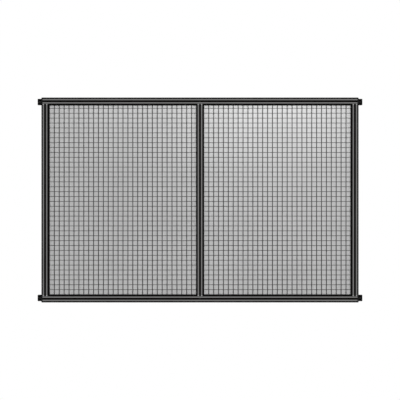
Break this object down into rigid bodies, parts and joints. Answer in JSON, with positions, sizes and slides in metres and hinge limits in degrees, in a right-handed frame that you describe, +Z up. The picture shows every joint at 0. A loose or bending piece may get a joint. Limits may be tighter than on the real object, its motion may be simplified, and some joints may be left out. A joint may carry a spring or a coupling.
{
  "type": "machine guard fence panel",
  "caption": "Rigid machine guard fence panel: a black slotted frame with two bays of welded wire mesh over tinted sheet, and a screw-on lug at each corner.",
  "frame": {"origin": "on the rear face of the lower left bracket, where the frame's outer edge crosses the centre line of the bottom rail", "axes": "+X along the panel to the right as seen from the front, +Z up, and the front faces -Y"},
  "size_m": [1.69, 0.048, 1.06],
  "materials": {
    "black_anodised": "satin black anodised",
    "black_plastic": "moulded black polyamide",
    "black_steel": "black powder coat",
    "mesh_wire": "black powder coat on welded wire",
    "tinted_sheet": "light grey translucent polycarbonate",
    "seal_rubber": "black extruded rubber"
  },
  "bodies": {
    "root": {"bottom_rail": "black_anodised", "top_rail": "black_anodised", "left_post": "black_anodised", "middle_post": "black_anodised", "right_post": "black_anodised", "lower_left_cap": "black_plastic", "lower_right_cap": "black_plastic", "upper_left_cap": "black_plastic", "upper_right_cap": "black_plastic", "lower_left_bracket": "black_steel", "lower_right_bracket": "black_steel", "upper_left_bracket": "black_steel", "upper_right_bracket": "black_steel", "left_mesh_1": "mesh_wire", "left_mesh_2": "mesh_wire", "left_mesh_3": "mesh_wire", "left_mesh_4": "mesh_wire", "right_mesh_1": "mesh_wire", "right_mesh_2": "mesh_wire", "right_mesh_3": "mesh_wire", "right_mesh_4": "mesh_wire", "left_sheet": "tinted_sheet", "right_sheet": "tinted_sheet", "left_bay_bottom_seal": "seal_rubber", "left_bay_top_seal": "seal_rubber", "left_bay_left_seal": "seal_rubber", "left_bay_right_seal": "seal_rubber", "right_bay_bottom_seal": "seal_rubber", "right_bay_top_seal": "seal_rubber", "right_bay_left_seal": "seal_rubber", "right_bay_right_seal": "seal_rubber"}
  },
  "joints": []
}
